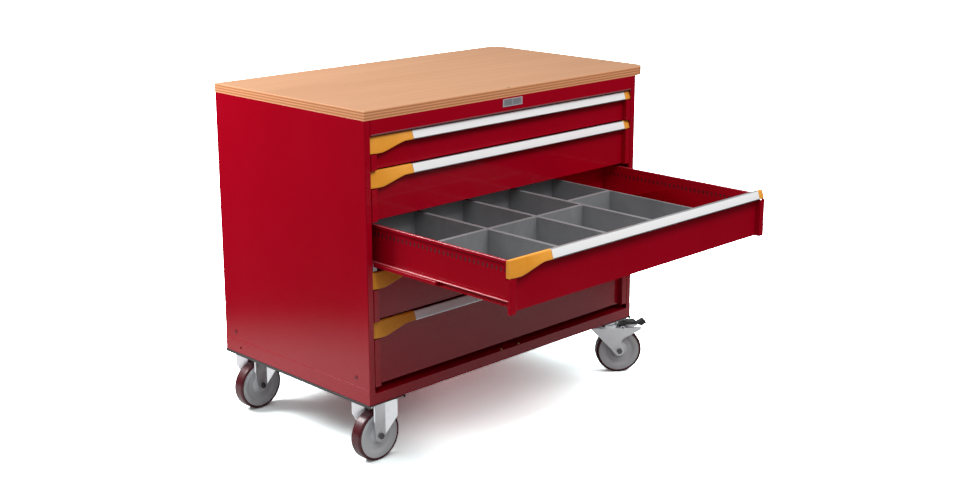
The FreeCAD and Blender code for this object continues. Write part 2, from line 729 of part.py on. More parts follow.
def make_trays():
    """Two rows of four open trays with turned-out rims, standing in the open drawer."""
    items = []
    floor = f"box_floor_up - pitch_{OPEN_DRAWER} + box_skin"
    start = "panel_recess + panel_thick + 15"
    for column in range(4):
        split = "tray_split_last" if column == 3 else "tray_split"
        x = f"box_side_in + box_skin + 0.5 + {column} * (tray_wide + 1)"
        for row, (near, far) in enumerate((("0", split), (f"{split} + 1", "trays_long")), 1):
            y = f"{start} + {near}"
            deep = f"({far} - ({near}))"
            body = doc.addObject("PartDesign::Body", f"tray_{row}_{column + 1}")
            shell = new_sketch(body, "XY_Plane", floor)
            inset = "tray_rim - tray_wall"
            box_outline(shell, f"{x} + {inset}", f"{y} + {inset}", f"{x} + tray_wide - tray_rim + tray_wall",
                        f"{y} + {deep} - tray_rim + tray_wall")
            pad(body, shell, "tray_tall")
            rim = new_sketch(body, "XY_Plane", f"{floor} + tray_tall - 4")
            box_outline(rim, x, y, f"{x} + tray_wide", f"{y} + {deep}")
            pad(body, rim, "4")
            round_edges(body, is_upright, "3")
            space = new_sketch(body, "XY_Plane", f"{floor} + tray_tall")
            box_outline(space, f"{x} + tray_rim", f"{y} + tray_rim", f"{x} + tray_wide - tray_rim",
                        f"{y} + {deep} - tray_rim")
            cut(body, space, "tray_tall - tray_wall")
            items.append(body)
    name = f"drawer_{OPEN_DRAWER}_trays"
    node(group(name, items, y="-open_travel", z=f"level_{OPEN_DRAWER}"), name)


# ---------------------------------------------------------------- castors

AXLE_LEVEL = "wheel_radius - floor_gap"
CASTORS = {
    "front_left": ("castor_in_x", "castor_in_front"),
    "rear_left": ("castor_in_x", "body_deep - castor_in_back"),
    "front_right": ("body_wide - castor_in_x", "castor_in_front"),
    "rear_right": ("body_wide - castor_in_x", "body_deep - castor_in_back"),
}
FIXED_CASTORS = ["front_left", "rear_left"]
SWIVEL_CASTORS = ["front_right", "rear_right"]


def make_castor_beams():
    """Two shallow channels across the underside, front to back, that spread the castors' load."""
    items = []
    for right in (False, True):
        name = f"beam_{'right' if right else 'left'}"
        x, wide = span("-beam_proud", "beam_wide - beam_proud", right)
        outer = block(name + "_outer", x, "-beam_proud", "-beam_tall", wide, "body_deep + 2 * beam_proud",
                      "beam_tall")
        x, wide = span("beam_skin - beam_proud", "beam_wide - beam_proud - beam_skin", right)
        inner = block(name + "_inner", x, "-beam_proud - 1", "-beam_tall - 1", wide,
                      "body_deep + 2 * beam_proud + 2", "beam_tall - beam_skin + 1")
        items.append(difference(name, outer, inner))
    node(group("castor_beams", items), "castor_beams")


def fixed_fork(name, centre_y):
    """A pressed fixed fork: a plate and two legs, each a flat strip between two flared wings."""
    body = doc.addObject("PartDesign::Body", name)
    bind(body, "Placement.Base.x", "castor_in_x")
    bind(body, "Placement.Base.y", centre_y)
    plate = new_sketch(body, "XY_Plane", "-beam_skin - plate_thick")
    box_outline(plate, "-plate_long / 2", "-plate_wide / 2", "plate_long / 2", "plate_wide / 2")
    pad(body, plate, "plate_thick")
    legs = new_sketch(body, "XY_Plane", f"{AXLE_LEVEL} - leg_wide / 2")
    for sign in ("", "-"):
        face = [("leg_wide / 2", "fork_inner"), ("leg_wide / 2 + leg_flare", "fork_inner + leg_flare"),
                ("leg_wide / 2 + leg_flare - fork_skin", "fork_inner + leg_flare + fork_skin"),
                ("leg_wide / 2 - fork_skin / 2", "fork_inner + fork_skin")]
        ring = face + [(f"-({across})", deep) for across, deep in face[::-1]]
        outline(legs, [(across, f"{sign}({deep})") for across, deep in ring])
    pad(body, legs, f"-({AXLE_LEVEL}) + leg_wide / 2 - beam_skin - plate_thick")
    shoulder = "-beam_tall - leg_wide + 6"
    strip = "leg_wide / 2 - fork_skin / 2"
    for sign in ("", "-"):
        trim = new_sketch(body, "XZ_Plane", "0")
        outline(trim, [(f"{sign}({strip})", f"{AXLE_LEVEL} - leg_wide / 2 - 1"),
                       (f"{sign}({strip})", AXLE_LEVEL),
                       (f"{sign}(leg_wide / 2 + leg_flare + 4)", shoulder),
                       (f"{sign}(leg_wide / 2 + leg_flare + 20)", shoulder),
                       (f"{sign}(leg_wide / 2 + leg_flare + 20)", f"{AXLE_LEVEL} - leg_wide / 2 - 1")])
        cut(body, trim, "3 * plate_wide", both_ways=True)
    foot = [(side * amount_of(strip), amount_of(f"{AXLE_LEVEL} - leg_wide / 2")) for side in (-1, 1)]
    round_edges(body, edge_at(1, foot), f"{strip} - 1")
    bore = new_sketch(body, "XZ_Plane", "0")
    circle(bore, "0", AXLE_LEVEL, "axle_radius")
    cut(body, bore, "3 * plate_wide", both_ways=True)
    return body


def make_fixed_castors():
    forks = []
    axles = []
    for castor in FIXED_CASTORS:
        centre_x, centre_y = CASTORS[castor]
        forks.append(fixed_fork(castor + "_fork", centre_y))
        reach = "(fork_inner + fork_skin)"
        shank = rod(castor + "_shank", centre_x, f"{centre_y} - {reach}", AXLE_LEVEL, "axle_radius",
                    f"2 * {reach}", "Y")
        head = hexagon(castor + "_head", centre_x, f"{centre_y} - {reach} - 6", AXLE_LEVEL, "10", "6")
        nut = hexagon(castor + "_nut", centre_x, f"{centre_y} + {reach}", AXLE_LEVEL, "10", "6")
        axles.append(joined(castor + "_axle", [shank, head, nut]))
    node(group("fixed_castor_forks", forks), "fixed_castor_forks")
    node(group("fixed_castor_axles", axles), "fixed_castor_axles")


def hexagon(name, x, y, z, corner_radius, thick):
    """A hexagon head that starts at a point and is thick along Y."""
    item = doc.addObject("Part::Prism", name)
    item.Polygon = 6
    bind(item, "Circumradius", corner_radius)
    bind(item, "Height", thick)
    item.Placement.Rotation = FreeCAD.Rotation(FreeCAD.Vector(0, 0, 1), FreeCAD.Vector(0, 1, 0))
    bind(item, "Placement.Base.x", x)
    bind(item, "Placement.Base.y", y)
    bind(item, "Placement.Base.z", z)
    return item


def wheel_centre(castor):
    """The centre of a wheel, which trails behind its swivel axis on a swivel castor."""
    x, y = CASTORS[castor]
    if castor in FIXED_CASTORS:
        return x, y
    turn = math.radians(SWIVEL_TURNS[castor])
    return f"{x} + trail * ({math.cos(turn):.6f})", f"{y} + trail * ({math.sin(turn):.6f})"


def turned_ring(name, profile, castor):
    """A body turned about the wheel's axle from a half profile of (radius, half width) corners."""
    x, y = wheel_centre(castor)
    body = new_body(name, x, y, AXLE_LEVEL, SWIVEL_TURNS.get(castor, 0))
    sketch = new_sketch(body, "YZ_Plane")
    upper = [(half_wide, radius) for radius, half_wide in profile]
    outline(sketch, upper + [(f"-({half_wide})", radius) for half_wide, radius in upper[::-1]])
    turning = body.newObject("PartDesign::Revolution", name + "_turning")
    turning.Profile = sketch
    turning.ReferenceAxis = (sketch, ["H_Axis"])
    turning.Angle = 360
    doc.recompute()
    return body


def make_wheel(castor):
    core = turned_ring(f"{castor}_wheel_core",
                       [("axle_radius + running_gap", "hub_wide / 2"), ("hub_radius - 6", "hub_wide / 2"),
                        ("hub_radius - 4", "hub_wide / 2 - 2"), ("hub_radius", "hub_wide / 2 - 4"),
                        ("hub_radius + 8", "tread_wide / 2 - 8"), ("core_radius - 25", "tread_wide / 2 - 7"),
                        ("core_radius - 14", "tread_wide / 2 - 3"), ("core_radius - 6", "tread_wide / 2 - 2"),
                        ("core_radius", "tread_wide / 2 - 2")], castor)
    node(core, f"{castor}_wheel_core")
    tread = turned_ring(f"{castor}_wheel_tread",
                        [("core_radius", "tread_wide / 2 - 1.5"), ("core_radius + 1", "tread_wide / 2"),
                         ("wheel_radius", "tread_wide / 2")], castor)
    radius, half = amount_of("wheel_radius"), amount_of("tread_wide / 2")

    def is_shoulder(edge):
        curve = edge.Curve
        return (curve.TypeId == "Part::GeomCircle" and abs(curve.Radius - radius) < 0.01
                and abs(abs(curve.Center.y) - half) < 0.01)

    round_edges(tread, is_shoulder, "tread_round")
    node(tread, f"{castor}_wheel_tread")


def make_swivel_plates():
    """Mounting plates with the upper ball race and the kingpin, bolted to the right-hand beam."""
    items = []
    for castor in SWIVEL_CASTORS:
        x, y = CASTORS[castor]
        plate = block(castor + "_plate", f"{x} - plate_long / 2", f"{y} - plate_wide / 2",
                      "-beam_skin - plate_thick", "plate_long", "plate_wide", "plate_thick")
        race = rod(castor + "_race", x, y, "-race_level", "race_radius - 6", "race_level - beam_skin", "Z")
        kingpin = rod(castor + "_kingpin", x, y, "-crown_level - 2", "kingpin_radius",
                      "crown_level - beam_skin", "Z")
        items.append(joined(castor + "_swivel_plate", [plate, race, kingpin]))
    node(group("swivel_plates", items), "swivel_plates")


def make_swivel_fork(castor):
    """A trailing fork: lower race, crown, two legs swept back to the axle, ears for the pedal."""
    x, y = CASTORS[castor]
    name = f"{castor}_fork"
    body = new_body(name, x, y, "0", SWIVEL_TURNS[castor])
    crown = "-crown_level"
    skyline = [("-trail - 12", crown), ("-trail - 12", f"{crown} - 6"), ("16 - trail", "-67"), ("13", "-111"),
               ("trail - 13", f"{AXLE_LEVEL} - 12.5"), ("trail", AXLE_LEVEL),
               ("trail + 17", f"{AXLE_LEVEL} + 5"), ("trail + 6", "-89"), ("trail + 11", "-76"),
               ("trail + 47", "-58"), ("trail + 72", "-46.5"), ("trail + 77", f"{crown} - 4"),
               ("trail + 77", crown), ("pedal_pin_out + 10", crown), ("pedal_pin_out + 6", f"{crown} + 5"),
               ("pedal_pin_out - 6", f"{crown} + 5"), ("pedal_pin_out - 8", crown)]
    legs = new_sketch(body, "XZ_Plane")
    outline(legs, skyline)
    pad(body, legs, "2 * fork_inner + 2 * fork_skin", both_ways=True)
    boss = new_sketch(body, "XZ_Plane")
    circle(boss, "trail", AXLE_LEVEL, "boss_radius")
    pad(body, boss, "2 * fork_inner + 2 * fork_skin", both_ways=True)
    lip = new_sketch(body, "XZ_Plane")
    box_outline(lip, "18", f"{crown} - lip_tall", "trail + 76", crown)
    pad(body, lip, "2 * fork_inner + 2 * fork_skin + 2 * lip_proud", both_ways=True)
    crease = new_sketch(body, "XY_Plane", f"{crown} - lip_tall")
    for front in (True, False):
        sign = "-" if front else ""
        near, far = f"{sign}(fork_inner + fork_skin - 0.8)", f"{sign}(fork_inner + fork_skin + 1)"
        box_outline(crease, "3", far if front else near, "5.5", near if front else far)
    cut(body, crease, "70")
    between = new_sketch(body, "XY_Plane", f"{crown} - fork_skin")
    box_outline(between, "-trail - 20", "-fork_inner", "trail + 100", "fork_inner")
    cut(body, between, "2 * wheel_radius")
    opening = new_sketch(body, "XY_Plane", f"{crown} + 14")
    box_outline(opening, "race_radius + 3", "-fork_inner", "trail + 100", "fork_inner")
    cut(body, opening, "fork_skin + 15")
    race = new_sketch(body, "XY_Plane", crown)
    circle(race, "0", "0", "race_radius")
    pad(body, race, "crown_level - race_level - 0.3")
    kingpin_bore = new_sketch(body, "XY_Plane", "-beam_tall")
    circle(kingpin_bore, "0", "0", "kingpin_radius + running_gap")
    cut(body, kingpin_bore, "crown_level")
    bores = new_sketch(body, "XZ_Plane")
    circle(bores, "trail", AXLE_LEVEL, "axle_radius")
    circle(bores, "pedal_pin_out", "-pedal_pin_level", "pedal_pin_radius + running_gap")
    cut(body, bores, "4 * fork_inner", both_ways=True)
    node(body, name)


def make_swivel_axle(castor):
    x, y = wheel_centre(castor)
    name = f"{castor}_axle"
    reach = "(fork_inner + fork_skin)"
    shank = rod(name + "_shank", "0", f"-{reach}", "0", "axle_radius", f"2 * {reach}", "Y")
    head = hexagon(name + "_head", "0", f"-{reach} - 6", "0", "10", "6")
    nut = hexagon(name + "_nut", "0", reach, "0", "10", "6")
    axle = joined(name, [shank, head, nut])
    place(axle, x, y, AXLE_LEVEL, SWIVEL_TURNS[castor])
    node(axle, name)


def make_pedal(castor):
    """The brake pedal: a tongue with trunnions between the fork's ears, and a narrow tilted tip."""
    x, y = CASTORS[castor]
    name = f"{castor}_pedal"
    body = new_body(name, x, y, "0", SWIVEL_TURNS[castor])
    start, neck = "race_radius + 4", "trail + 65"
    tongue = new_sketch(body, "XZ_Plane")
    outline(tongue, [(start, "-37"), (start, "-24"), (f"{start} + 10", "-17"), (f"{neck} - 8", "-17"),
                     (neck, "-23"), (neck, "-27"), (f"{start} + 20", "-27"), (f"{start} + 16", "-37")])
    pad(body, tongue, "pedal_wide", both_ways=True)
    tip = new_sketch(body, "XZ_Plane")
    outline(tip, [(f"{neck} - 6", "-26"), (f"{neck} - 1", "-23"), (f"{neck} + 22", "-10.5"),
                  (f"{neck} + 34", "-24"), (f"{neck} + 16", "-36")])
    pad(body, tip, "pedal_tip_wide", both_ways=True)
    trunnions = new_sketch(body, "XZ_Plane")
    circle(trunnions, "pedal_pin_out", "-pedal_pin_level", "pedal_pin_radius")
    pad(body, trunnions, "2 * fork_inner + 2 * fork_skin", both_ways=True)
    corners = [(amount_of(f"{neck} + {out}"), amount_of(level))
               for out, level in ((22, "-10.5"), (34, "-24"), (16, "-36"))]
    round_edges(body, edge_at(1, corners), "2")
    node(body, name)


# ---------------------------------------------------------------- fasteners

def make_fasteners():
    """Worktop plugs, ledge screws, side and back screws, and the castor plates' bolts."""
    items = []
    for number, (x, y) in enumerate(PLUG_PLACES, 1):
        items.append(rod(f"worktop_plug_{number}", x, y, "body_tall + top_thick - plug_deep",
                         "plug_radius", "plug_deep - 0.2", "Z"))
    for side, offset in (("left", "-39.5"), ("right", "39.5")):
        items.append(rod(f"ledge_screw_{side}", f"body_wide / 2 + {offset}", "9", "ledge_level", "5", "3",
                         "Z"))
    for side, x in (("left", "-1.6"), ("right", "body_wide")):
        for station, y, z in (("front", "62", "74"), ("rear", "body_deep - 58", "71")):
            items.append(rod(f"side_screw_{station}_{side}", x, y, z, "5", "1.6", "X"))
    for side, x in (("left", "back_flange / 2"), ("right", "body_wide - back_flange / 2")):
        for step in range(3):
            z = f"plinth_tall + 53 + {step} * (body_tall - plinth_tall - 100) / 2"
            items.append(rod(f"back_screw_{step}_{side}", x, "body_deep", z, "4", "1.8", "Y"))
    for castor, (x, y) in CASTORS.items():
        for x_side in ("-", "+"):
            for y_side in ("-", "+"):
                items.append(rod(f"{castor}_bolt{len(items)}", f"{x} {x_side} plate_bolt_out",
                                 f"{y} {y_side} plate_bolt_along", "-beam_skin - plate_thick - 5", "6.5", "5",
                                 "Z"))
    node(group("fasteners", items), "fasteners")


make_worktop()
make_top_panel()
make_side_panel("side_panel_left", False)
make_side_panel("side_panel_right", True)
make_back_panel()
make_base_pan()
make_corner_posts()
make_name_plate()
make_cabinet_slides()
make_slide_rollers()
make_castor_beams()
make_fixed_castors()
make_swivel_plates()
make_fasteners()
for number in range(1, len(FRONT_HEIGHTS) + 1):
    make_drawer_box(number)
    make_drawer_front(number)
    make_handle(number)
    make_latch(number)
    make_cap(number)
    make_middle_slides(number)
make_trays()
for castor_name in CASTORS:
    make_wheel(castor_name)
for castor_name in SWIVEL_CASTORS:
    make_swivel_fork(castor_name)
    make_swivel_axle(castor_name)
    make_pedal(castor_name)

doc.recompute()
for item in doc.Objects:
    if "Invalid" in item.State or "Error" in item.State:
        raise RuntimeError(item.Name + " was not built")
for item in NODES:
    if item.Shape.isNull() or not item.Shape.isValid():
        raise RuntimeError(item.Label + " has no valid shape")

os.makedirs("parts", exist_ok=True)
for item in NODES:
    item.Shape.exportStep("parts/" + item.Label + ".step")
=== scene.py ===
import json
import math

import bmesh
import bpy
from mathutils import Matrix, Vector

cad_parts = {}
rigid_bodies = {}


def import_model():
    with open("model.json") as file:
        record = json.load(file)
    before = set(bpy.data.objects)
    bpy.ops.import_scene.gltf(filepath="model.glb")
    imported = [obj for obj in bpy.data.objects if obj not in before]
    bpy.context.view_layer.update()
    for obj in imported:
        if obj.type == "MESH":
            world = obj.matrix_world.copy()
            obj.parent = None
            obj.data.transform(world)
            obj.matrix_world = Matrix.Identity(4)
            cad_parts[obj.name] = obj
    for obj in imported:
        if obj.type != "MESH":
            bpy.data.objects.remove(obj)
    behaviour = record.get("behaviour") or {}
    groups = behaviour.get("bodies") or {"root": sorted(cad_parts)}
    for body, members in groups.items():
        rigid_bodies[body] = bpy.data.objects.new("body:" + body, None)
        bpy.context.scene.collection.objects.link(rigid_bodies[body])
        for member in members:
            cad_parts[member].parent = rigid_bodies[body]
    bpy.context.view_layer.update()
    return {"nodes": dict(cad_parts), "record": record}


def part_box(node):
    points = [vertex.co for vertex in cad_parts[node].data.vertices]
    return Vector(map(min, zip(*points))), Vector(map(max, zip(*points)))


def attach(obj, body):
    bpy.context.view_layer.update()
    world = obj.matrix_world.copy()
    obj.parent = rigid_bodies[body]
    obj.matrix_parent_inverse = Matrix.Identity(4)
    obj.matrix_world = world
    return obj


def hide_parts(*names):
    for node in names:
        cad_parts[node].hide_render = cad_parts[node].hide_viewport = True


# the stock start-up objects would count as pieces of the bench
for stock in list(bpy.data.objects):
    bpy.data.objects.remove(stock)

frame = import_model()
MM = 0.001
DRAWERS = (1, 2, 3, 4, 5)

# ---------------------------------------------------------------- materials

# one ply of the worktop, and the level of the lowest one
PLY = 4.0 * MM
PLY_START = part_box("worktop")[0].z
# levels, in metres, between which the fasteners have their own colour
LEDGE_SCREWS = (0.225, 0.245)
SIDE_SCREWS = (0.250, 0.285)
WORKTOP_PLUGS = (1.055, 2.0)
# the sockets of a Mix node that blends colours
MIX_FACTOR, MIX_FIRST, MIX_SECOND, MIX_RESULT = 0, 6, 7, 2


class Shader:
    """A Principled material with short helpers for building its node tree."""

    def __init__(self, name, **sockets):
        self.material = bpy.data.materials.new(name)
        self.material.use_nodes = True
        self.tree = self.material.node_tree
        self.bsdf = self.tree.nodes["Principled BSDF"]
        for socket, value in sockets.items():
            self.bsdf.inputs[socket.replace("_", " ")].default_value = value
        self.place = self.add("ShaderNodeTexCoord").outputs["Object"]

    def add(self, kind, inputs=None, **settings):
        node = self.tree.nodes.new(kind)
        for name, value in settings.items():
            setattr(node, name, value)
        for name, value in (inputs or {}).items():
            if isinstance(value, bpy.types.NodeSocket):
                self.tree.links.new(value, node.inputs[name])
            else:
                node.inputs[name].default_value = value
        return node

    def stretched(self, scale):
        """Object coordinates, scaled before a texture reads them."""
        return self.add("ShaderNodeMapping", {"Vector": self.place, "Scale": scale}).outputs[0]

    def noise(self, scale, detail=4, rough=0.5, vector=None, distortion=0.0):
        return self.add("ShaderNodeTexNoise", {
            "Vector": vector or self.place, "Scale": scale, "Detail": detail, "Roughness": rough,
            "Distortion": distortion}).outputs["Fac"]

    def span(self, value, low, high, to_low=0.0, to_high=1.0, smooth=False):
        """A value range mapped, and clamped, to another."""
        return self.add("ShaderNodeMapRange", {
            "Value": value, "From Min": low, "From Max": high, "To Min": to_low, "To Max": to_high},
            interpolation_type="SMOOTHSTEP" if smooth else "LINEAR").outputs["Result"]

    def math(self, operation, first, second=0.0):
        return self.add("ShaderNodeMath", {0: first, 1: second}, operation=operation).outputs[0]

    def mix(self, factor, first, second, blend="MIX"):
        node = self.add("ShaderNodeMix", data_type="RGBA", blend_type=blend)
        for index, value in ((MIX_FACTOR, factor), (MIX_FIRST, first), (MIX_SECOND, second)):
            if isinstance(value, bpy.types.NodeSocket):
                self.tree.links.new(value, node.inputs[index])
            elif index == MIX_FACTOR:
                node.inputs[index].default_value = value
            else:
                node.inputs[index].default_value = (*value, 1)
        return node.outputs[MIX_RESULT]

    def split(self, vector):
        return self.add("ShaderNodeSeparateXYZ", {"Vector": vector}).outputs

    def normal(self):
        return self.add("ShaderNodeNewGeometry").outputs["Normal"]

    def colour(self, output):
        self.tree.links.new(output, self.bsdf.inputs["Base Color"])

    def roughness(self, output):
        self.tree.links.new(output, self.bsdf.inputs["Roughness"])

    def bump(self, height, strength, distance):
        bumped = self.add("ShaderNodeBump", {"Height": height, "Strength": strength, "Distance": distance})
        self.tree.links.new(bumped.outputs[0], self.bsdf.inputs["Normal"])


def red_paint():
    """Glossy crimson powder coat: faint orange peel, cloudy depth, and faint handling marks.

    Its roughness stays below 0.27, where the denoiser would draw contour lines on it.
    """
    paint = Shader("red_powder_coat", IOR=1.48, Specular_IOR_Level=0.20, Coat_Weight=0.40,
                   Coat_Roughness=0.05)
    cloud = paint.noise(2.2, 3, 0.55)
    base = paint.mix(paint.span(cloud, 0.3, 0.7), (0.380, 0.0002, 0.010), (0.410, 0.0003, 0.013))
    rubbed = paint.noise(7, 5, 0.6, paint.stretched((1, 1, 0.6)))
    base = paint.mix(paint.span(rubbed, 0.35, 0.85, 0, 0.06, smooth=True), base, (0.52, 0.004, 0.020))
    speck = paint.noise(900, 2, 0.4)
    base = paint.mix(paint.span(speck, 0.70, 0.78, 0, 0.015), base, (0.60, 0.015, 0.03))
    paint.colour(base)
    paint.roughness(paint.span(rubbed, 0.35, 0.75, 0.21, 0.262))
    paint.bump(paint.noise(420, 2, 0.5), 0.08, 0.0005)
    return paint.material


def beech_plywood():
    """Oiled beech veneer along X, and the alternating plies of the cut edges."""
    wood = Shader("beech_plywood_oiled", IOR=1.42, Specular_IOR_Level=0.35)
    wave = wood.noise(1.0, 3, 0.5, wood.stretched((1.1, 6, 6)), 0.6)
    rings = wood.noise(1.0, 5, 0.55, wood.stretched((2.2, 95, 60)), 0.25)
    flecks = wood.noise(1.0, 2, 0.45, wood.stretched((95, 900, 600)))
    pores = wood.noise(1.0, 3, 0.6, wood.stretched((38, 1500, 1500)))
    veneer = wood.mix(wood.span(wave, 0.3, 0.7), (0.452, 0.236, 0.127), (0.500, 0.270, 0.150))
    veneer = wood.mix(wood.span(rings, 0.42, 0.68, 0, 0.28), veneer, (0.390, 0.185, 0.092))
    veneer = wood.mix(wood.span(flecks, 0.60, 0.72, 0, 0.40), veneer, (0.42, 0.20, 0.095))
    veneer = wood.mix(wood.span(pores, 0.62, 0.80, 0, 0.30), veneer, (0.80, 0.52, 0.34))
    height = wood.split(wood.place)[2]
    layer = wood.math("DIVIDE", wood.math("SUBTRACT", height, PLY_START), PLY)
    ply = wood.math("PINGPONG", wood.math("SUBTRACT", layer, 0.5), 1.0)
    across = wood.span(ply, 0.40, 0.60)
    end_grain = wood.noise(1.0, 4, 0.6, wood.stretched((160, 160, 260)))
    long_grain = wood.noise(1.0, 4, 0.6, wood.stretched((14, 14, 420)))
    light_ply = wood.mix(long_grain, (0.76, 0.345, 0.160), (0.90, 0.440, 0.220))
    dark_ply = wood.mix(end_grain, (0.46, 0.165, 0.065), (0.66, 0.265, 0.120))
    glue = wood.span(wood.math("ABSOLUTE", wood.math("SUBTRACT", ply, 0.5)), 0.0, 0.08, 0.45, 0.0)
    edge = wood.mix(across, light_ply, dark_ply)
    edge = wood.mix(glue, edge, (0.20, 0.085, 0.035))
    facing_up = wood.math("ABSOLUTE", wood.split(wood.normal())[2])
    wood.colour(wood.mix(wood.span(facing_up, 0.55, 0.80), edge, veneer))
    wood.roughness(wood.span(rings, 0.35, 0.70, 0.46, 0.62))
    grain = wood.math("ADD", wood.math("MULTIPLY", rings, 0.6), wood.math("MULTIPLY", flecks, 0.4))
    wood.bump(grain, 0.16, 0.0005)
    return wood.material


def brushed_metal(name, tint, rough, across):
    """Metal with a cloudy tone and fine lines, long where the scale is small."""
    metal = Shader(name, Metallic=1.0)
    lines = metal.noise(1.0, 4, 0.6, metal.stretched(across))
    cloud = metal.noise(9, 4, 0.6)
    dark = tuple(0.78 * channel for channel in tint)
    metal.colour(metal.mix(metal.span(cloud, 0.3, 0.7), dark, tint))
    metal.roughness(metal.span(lines, 0.3, 0.7, rough - 0.07, rough + 0.10))
    metal.bump(lines, 0.06, 0.0004)
    return metal.material


def zinc_plating():
    """Bright zinc plate: spangled tone, faint rolling marks, soft dull patches."""
    zinc = Shader("zinc_plate", Metallic=1.0)
    cells = zinc.add("ShaderNodeTexVoronoi", {"Vector": zinc.place, "Scale": 160.0}, feature="F1")
    cloud = zinc.noise(22, 5, 0.6)
    tone = zinc.mix(zinc.span(cloud, 0.3, 0.7), (0.78, 0.815, 0.85), (0.93, 0.96, 0.985))
    tone = zinc.mix(zinc.span(cells.outputs["Distance"], 0.1, 0.7, 0.0, 0.18), tone, (0.96, 0.98, 0.99))
    zinc.colour(tone)
    zinc.roughness(zinc.span(cloud, 0.3, 0.75, 0.29, 0.44))
    zinc.bump(zinc.noise(300, 3, 0.6), 0.08, 0.0004)
    return zinc.material


def fastener_finish():
    """Zinc bolts, yellow ledge screws, painted side screws and dark worktop plugs, by level."""
    metal = Shader("fastener_finish")
    level = metal.split(metal.place)[2]
    cloud = metal.noise(120, 4, 0.6)
    tone = metal.mix(metal.span(cloud, 0.3, 0.7), (0.58, 0.60, 0.63), (0.80, 0.83, 0.86))

    def band(limits):
        return metal.math("MULTIPLY", metal.math("GREATER_THAN", level, limits[0]),
                          metal.math("LESS_THAN", level, limits[1]))

    ledge, side, plug = band(LEDGE_SCREWS), band(SIDE_SCREWS), band(WORKTOP_PLUGS)
    tone = metal.mix(ledge, tone, (0.58, 0.38, 0.17))
    tone = metal.mix(side, tone, (0.13, 0.003, 0.008))
    metal.colour(metal.mix(plug, tone, (0.17, 0.115, 0.05)))
    plated = metal.math("SUBTRACT", 1.0, metal.math("ADD", side, plug))
    metal.tree.links.new(plated, metal.bsdf.inputs["Metallic"])
    metal.roughness(metal.span(cloud, 0.3, 0.75, 0.29, 0.45))
    metal.bump(metal.noise(400, 3, 0.6), 0.06, 0.0003)
    return metal.material


def moulded_plastic(name, dark, light, rough, grain_scale=700, grain=0.10, **sockets):
    """Injection-moulded plastic: spark-eroded grain and slight flow marks."""
    plastic = Shader(name, **sockets)
    flow = plastic.noise(6, 4, 0.6, distortion=0.8)
    plastic.colour(plastic.mix(plastic.span(flow, 0.3, 0.7), dark, light))
    texture = plastic.noise(grain_scale, 3, 0.6)
    plastic.roughness(plastic.span(texture, 0.3, 0.7, rough - 0.06, rough + 0.06))
    plastic.bump(texture, grain, 0.0004)
    return plastic.material


def label_paper():
    """White card behind a clear cover strip."""
    card = Shader("label_card_white", Roughness=0.45, Coat_Weight=0.4, Coat_Roughness=0.15)
    fibre = card.noise(1.0, 4, 0.6, card.stretched((220, 900, 900)))
    card.colour(card.mix(card.span(fibre, 0.3, 0.7), (0.95, 0.95, 0.955), (0.985, 0.985, 0.985)))
    card.bump(card.noise(3, 3, 0.5), 0.05, 0.002)
    return card.material


def cast_tread():
    """Dark ruby cast polyurethane: glossy, slightly cloudy and scuffed."""
    tread = Shader("cast_ruby_tread", IOR=1.45, Coat_Weight=0.25, Coat_Roughness=0.10)
    cloud = tread.noise(16, 4, 0.6)
    scuff = tread.noise(150, 5, 0.7)
    tone = tread.mix(tread.span(cloud, 0.3, 0.7), (0.060, 0.0015, 0.005), (0.090, 0.003, 0.009))
    tread.colour(tread.mix(tread.span(scuff, 0.58, 0.80, 0, 0.18), tone, (0.20, 0.03, 0.04)))
    tread.roughness(tread.span(scuff, 0.35, 0.75, 0.28, 0.52))
    tread.bump(scuff, 0.10, 0.0004)
    return tread.material


RED = red_paint()
WOOD = beech_plywood()
ALUMINIUM = brushed_metal("extruded_aluminium", (0.80, 0.81, 0.83), 0.34, (8, 900, 900))
PLATE = moulded_plastic("pale_cast_plate", (0.44, 0.45, 0.48), (0.52, 0.53, 0.56), 0.36, 260)
FIELD = moulded_plastic("grey_plate_field", (0.20, 0.21, 0.23), (0.26, 0.27, 0.29), 0.40, 260)
# a pale pink red for the rounded runner and rim edges of the drawer sides: a painted highlight
HIGHLIGHT_EDGE_RED = moulded_plastic("red_edge_painted_highlight", (0.64, 0.130, 0.155), (0.76, 0.190, 0.220), 0.24, 260,
                       Coat_Weight=0.6, Coat_Roughness=0.06)
# a pale pinkish red for the rail's lower lip: a painted highlight
RAIL_LIP_HIGHLIGHT = moulded_plastic("rail_lip_painted_highlight", (0.19, 0.070, 0.075), (0.25, 0.100, 0.105), 0.22, 260,
                           Coat_Weight=0.6, Coat_Roughness=0.06)
# a near-black red sheet behind the slots of the drawer sides: painted shade
PAINTED_SLOT_SHADE = moulded_plastic("slot_shade_paint", (0.060, 0.004, 0.008), (0.090, 0.008, 0.012), 0.55, 400)
ZINC = zinc_plating()
CARD = label_paper()
RUBY = cast_tread()
AMBER = moulded_plastic("amber_moulding", (0.86, 0.335, 0.028), (0.95, 0.410, 0.050), 0.33,
                        IOR=1.5, Coat_Weight=0.15, Coat_Roughness=0.2)
CORE = moulded_plastic("nylon_core", (0.80, 0.83, 0.85), (0.88, 0.90, 0.92), 0.42, 500)
TRAY = moulded_plastic("grey_tray_moulding", (0.20, 0.205, 0.215), (0.27, 0.275, 0.285), 0.40, 600)
WHITE = moulded_plastic("white_nylon", (0.78, 0.78, 0.76), (0.86, 0.86, 0.84), 0.40)
BLACK = moulded_plastic("black_enamel", (0.012, 0.012, 0.013), (0.022, 0.022, 0.024), 0.34, 260, 0.14,
                        Coat_Weight=0.2, Coat_Roughness=0.2)
FASTENER = fastener_finish()
DARK_STEEL_AND_HUB_SHADE = brushed_metal("burnished_steel_and_hub_shade", (0.20, 0.20, 0.21), 0.26, (300, 300, 300))

